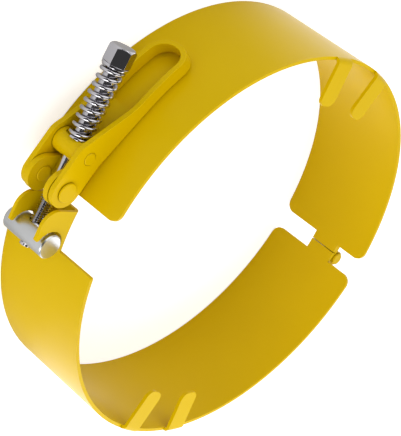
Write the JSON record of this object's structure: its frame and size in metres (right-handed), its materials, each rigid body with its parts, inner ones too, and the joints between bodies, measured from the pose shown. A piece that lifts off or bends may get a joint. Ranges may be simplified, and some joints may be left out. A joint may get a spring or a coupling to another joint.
{
  "type": "storz coupling safety clamp",
  "caption": "Hinged sheet-steel ring clamp that closes round a pair of hose couplings and locks with a sprung over-centre lever latch.",
  "frame": {"origin": "on the ring's axis, in the plane of the back rim", "axes": "+Z along the ring's axis from the back rim to the front rim with the tabs; +X towards the latch; +Y towards the lower band"},
  "size_m": [0.2113, 0.187, 0.0525],
  "materials": {
    "yellow_powder_coat": "semi-gloss powder coat",
    "zinc_plated_steel": "satin zinc",
    "bright_plated_steel": "bright plated"
  },
  "bodies": {
    "upper_half": {"upper_band": "yellow_powder_coat", "latch_bracket": "yellow_powder_coat", "pivot_rivet_front": "yellow_powder_coat", "pivot_rivet_back": "yellow_powder_coat", "hinge_pin": "zinc_plated_steel"},
    "lower_half": {"lower_band": "yellow_powder_coat"},
    "handle": {"handle": "yellow_powder_coat"},
    "trunnion": {"trunnion": "yellow_powder_coat", "spring": "bright_plated_steel"},
    "washer": {"washer": "bright_plated_steel"},
    "bolt": {"bolt": "bright_plated_steel"},
    "cross_bar": {"cross_bar": "zinc_plated_steel"}
  },
  "joints": [
    {"name": "band_hinge", "type": "hinge", "parent": "upper_half", "child": "lower_half", "pos_m": [-0.09635, 0.0132, 0.028], "axis": [0, 0, 1], "range_deg": [0, 1]},
    {"name": "handle_pivot", "type": "hinge", "parent": "upper_half", "child": "handle", "pos_m": [0.1038, -0.0147, 0.021], "axis": [0, 0, 1], "range_deg": [0, 80]},
    {"name": "bolt_swing", "type": "hinge", "parent": "handle", "child": "trunnion", "pos_m": [0.0992, -0.0293, 0.021], "axis": [0, 0, 1], "range_deg": [-52, 0]},
    {"name": "spring_give", "type": "slide", "parent": "trunnion", "child": "washer", "axis": [0.0658, 0.9978, 0], "range_m": [0, 0.0035], "deforming": ["spring"]},
    {"name": "bolt_turn", "type": "hinge", "parent": "washer", "child": "bolt", "pos_m": [0.0992, -0.0293, 0.021], "axis": [0.0658, 0.9978, 0], "range_deg": [0, 1080]},
    {"name": "cross_bar_travel", "type": "slide", "parent": "washer", "child": "cross_bar", "axis": [0.0658, 0.9978, 0], "range_m": [0, 0.0031]}
  ],
  "couplings": [
    {"joint": "bolt_swing", "follows": "handle_pivot", "ratio": -0.64},
    {"joint": "spring_give", "follows": "band_hinge", "m_per_rad": 0.1967},
    {"joint": "cross_bar_travel", "follows": "bolt_turn", "m_per_rad": 0.00015915}
  ]
}
